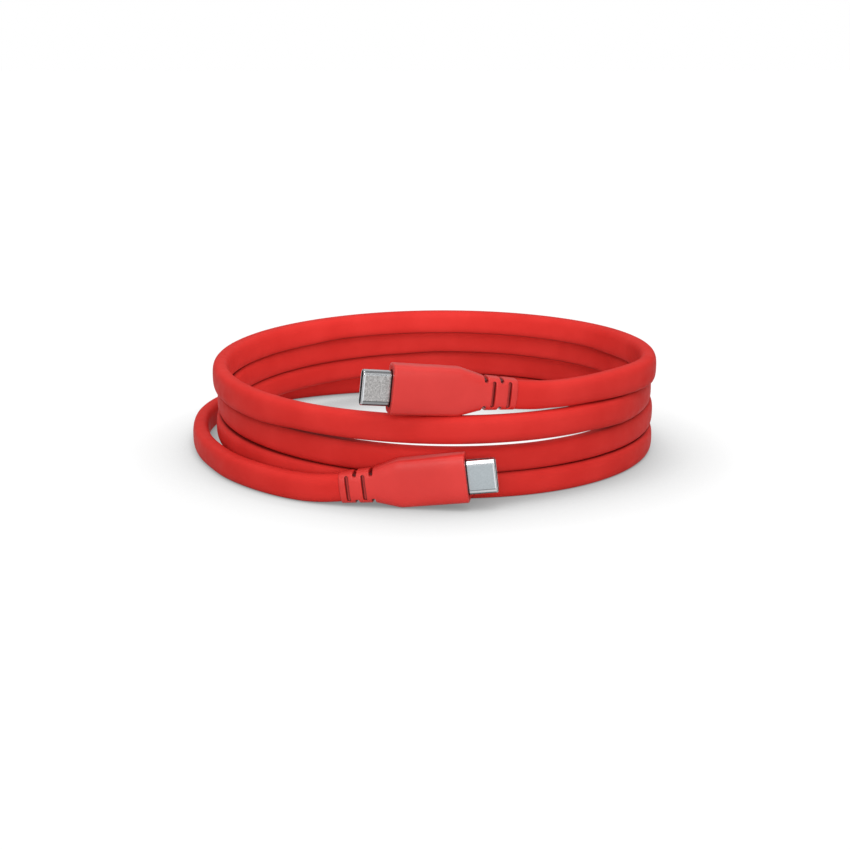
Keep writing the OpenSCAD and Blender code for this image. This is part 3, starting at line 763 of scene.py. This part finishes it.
# Painted darkness of a shell against the distance past its flat: painted shade lines at the bends,
# and a painted reflection of the dark surroundings that the bends mirror.
SHELL_SHADES = {
    "upper": {
        "top": ([0, 0.5, 0.65, 0.95, 1.08], [0, 0, 0.75, 0.75, 0]),
        "bottom": ([-0.15, 0.0, 0.1, 0.25, 0.6, 0.8], [0, 0.9, 0.9, 0.7, 0.7, 1]),
    },
    "lower": {
        "top": ([1.0, 1.15], [0, 0.8]),
        "bottom": ([-0.1, 0.0, 0.1, 0.2, 0.6, 0.85], [0, 0.7, 0.7, 0, 0, 1]),
    },
}
SHELL_AROUND = 192
WALL_X = [-SEAT_DEPTH, 0.0, 0.2, 0.32, 0.6, 2.0, 3.5, 5.0, 6.0, 6.12, 6.22, 6.32]
MOUTH_X = [5.0, 3.0, 0.5, -SEAT_DEPTH]
ROLL = 0.32  # length of the rolled front lip, which draws in by a share of that
ROLL_INSET = 0.7
BEND_FROM, BEND_RUN = -0.05, 0.25  # distance past the flat at which the metal is polished and painted lighter, a painted reflection
LIP_FROM, LIP_RUN = 0.25, 0.1  # distance behind the lip from which it is too
ROOT_TO, ROOT_RUN = 0.32, 0.12  # the band of painted shade where the shell leaves the moulding
LINE_AT, LINE_HALF = 0.16, 0.08  # the line of painted shade behind the mouth


def shell_rows():
    """(x, inset) of the shell's rings: outer wall, rolled front lip and inner wall."""
    rows = [(x, 0.0) for x in WALL_X + [SHELL_REACH - ROLL]]
    for a in np.radians(np.linspace(10, 90, 9)):
        x = SHELL_REACH - ROLL + ROLL * math.sin(a)
        rows.append((x, ROLL_INSET * ROLL * (1 - math.cos(a))))
    rows.append((SHELL_REACH - 0.04, SHELL_WALL + 0.06))
    rows.append((SHELL_REACH - 0.2, SHELL_WALL))
    return rows + [(x, SHELL_WALL) for x in MOUTH_X]


def build_shell(plug):
    """The drawn steel shell, open at both ends."""
    rings, bend, shell_shade = [], [], []
    shades = SHELL_SHADES[plug]
    rows = shell_rows()
    for x, inset in rows:
        section = stadium(SHELL_AROUND, SHELL_W - 2 * inset, SHELL_T - 2 * inset)
        rings.append(np.column_stack([np.full(SHELL_AROUND, x), section]))
        past_flat = np.abs(section[:, 1]) - (SHELL_W - SHELL_T) / 2
        at_lip = np.clip((x - SHELL_REACH + ROLL + LIP_FROM) / LIP_RUN, 0, 1)
        # the bends and lip are polished, and painted lighter as a painted reflection
        bend.append(np.maximum(np.clip((past_flat - BEND_FROM) / BEND_RUN, 0, 1), at_lip))
        # painted shade and painted reflection on the bends, behind the mouth and at the root
        above = np.interp(past_flat, *shades["top"])
        below = np.interp(past_flat, *shades["bottom"])
        lengthwise = np.where(section[:, 1] > 0, above, below) * (x < SHELL_REACH - ROLL)
        line = np.clip(1.2 - abs(x - SHELL_REACH + LINE_AT) / LINE_HALF, 0, 1)
        root = np.clip((ROOT_TO - x) / ROOT_RUN, 0, 1)
        shell_shade.append(np.maximum(lengthwise, max(line, root)))
    vertices = placed(plug, np.concatenate(rings))
    faces = ring_faces(len(rows), SHELL_AROUND, closed=True)
    obj = make_mesh(f"{plug}_plug_shell", vertices, faces, sharp=60)
    store(obj, "bend", np.concatenate(bend))
    store(obj, "shell_shade", np.concatenate(shell_shade))
    obj.data.materials.append(SHELL_METAL[plug])
    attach(obj, "root")
    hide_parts(f"{plug}_shell")
    return obj


plug_forms = {plug: (build_moulding(plug), build_shell(plug)) for plug in PLUGS}

# ---------------------------------------------------------------- floor and lights
FLOOR_SIZE = 6.0
FLOOR_GREY = (0.42, 0.42, 0.42, 1)
SHADOW_REACH = 0.032  # how far away an object still greys the floor, a painted shadow
SHADOW_STOPS = ((0.0, 0.2), (0.4, 0.41), (0.75, 0.84), (0.95, 1.0))
SEEN_STRENGTH, SEEN_SHARE = 1.08, 0.93


def build_floor():
    """A white table: it lights the object as plain white paint does, and is seen as a white glow with
    a painted shadow, the soft grey of occlusion by what stands near it."""
    h = FLOOR_SIZE / 2
    floor = make_mesh("floor", [(-h, -h, 0), (h, -h, 0), (h, h, 0), (-h, h, 0)], [(0, 1, 2, 3)])
    material, tree, shader = new_material("floor")
    shader.inputs["Base Color"].default_value = FLOOR_GREY
    shader.inputs["Roughness"].default_value = 0.7
    shader.inputs["Specular IOR Level"].default_value = 0.1
    # as seen, the floor is mostly a glow greyed by occlusion, a painted shadow, and for the rest its
    # real lit colour
    near = node(tree, "ShaderNodeAmbientOcclusion", samples=16)
    near.inputs["Distance"].default_value = SHADOW_REACH
    grey = ramp(tree, near.outputs["AO"], [(open_share, (v, v, v)) for open_share, v in SHADOW_STOPS])
    seen = node(tree, "ShaderNodeEmission")
    seen.inputs["Strength"].default_value = SEEN_STRENGTH
    tree.links.new(grey, seen.inputs["Color"])
    ray = node(tree, "ShaderNodeLightPath")
    looks = node(tree, "ShaderNodeMath", operation="MAXIMUM")
    tree.links.new(ray.outputs["Is Camera Ray"], looks.inputs[0])
    tree.links.new(ray.outputs["Is Glossy Ray"], looks.inputs[1])
    share = node(tree, "ShaderNodeMath", operation="MULTIPLY")
    share.inputs[1].default_value = SEEN_SHARE
    tree.links.new(looks.outputs[0], share.inputs[0])
    mix = node(tree, "ShaderNodeMixShader")
    tree.links.new(share.outputs[0], mix.inputs["Fac"])
    tree.links.new(shader.outputs[0], mix.inputs[1])
    tree.links.new(seen.outputs[0], mix.inputs[2])
    out = next(n for n in tree.nodes if n.type == "OUTPUT_MATERIAL")
    tree.links.new(mix.outputs[0], out.inputs["Surface"])
    floor.data.materials.append(material)


build_floor()


def area_light(name, position, target, size, watts):
    data = bpy.data.lights.new(name, "AREA")
    data.shape = "RECTANGLE"
    data.size, data.size_y = size
    data.energy = watts
    lamp = bpy.data.objects.new(name, data)
    lamp.location = position
    direction = Vector(target) - Vector(position)
    lamp.rotation_euler = direction.to_track_quat("-Z", "Y").to_euler()
    scene.collection.objects.link(lamp)
    return lamp


area_light("key", (-0.1, -1.95, 1.0), (0, 0, 0.01), (1.8, 1.0), 13.5)
area_light("fill", (0.25, -2.1, 0.42), (0, 0, 0.02), (1.4, 0.4), 9.5)
area_light("top", (0, -0.35, 1.0), (0, 0.02, 0), (0.7, 0.5), 2.4)
# A low strip in the middle of the coil lifts the inner faces of the turns at the back.
inner = area_light("inner", (-0.0035, -0.012, 0.018), (-0.0035, 0.055, 0.017), (0.07, 0.012), 0.0075)
inner.visible_camera = False
inner.visible_glossy = False


def build_world():
    """White to the eye; as light it is dim along the horizon and brighter overhead."""
    world = bpy.data.worlds.new("world")
    scene.world = world
    world.use_nodes = True
    tree = world.node_tree
    background = next(n for n in tree.nodes if n.type == "BACKGROUND")
    coords = node(tree, "ShaderNodeTexCoord")
    axes = node(tree, "ShaderNodeSeparateXYZ")
    tree.links.new(coords.outputs["Generated"], axes.inputs[0])
    sky = spread(tree, axes.outputs["Z"], 0.0, 0.6, 0.15, 0.68)
    ray = node(tree, "ShaderNodeLightPath")
    strength = node(tree, "ShaderNodeMapRange")
    strength.inputs["To Max"].default_value = 1.0
    tree.links.new(ray.outputs["Is Camera Ray"], strength.inputs["Value"])
    tree.links.new(sky, strength.inputs["To Min"])
    tree.links.new(strength.outputs["Result"], background.inputs["Strength"])
    background.inputs["Color"].default_value = (1, 1, 1, 1)


build_world()

scene.view_settings.view_transform = "Standard"
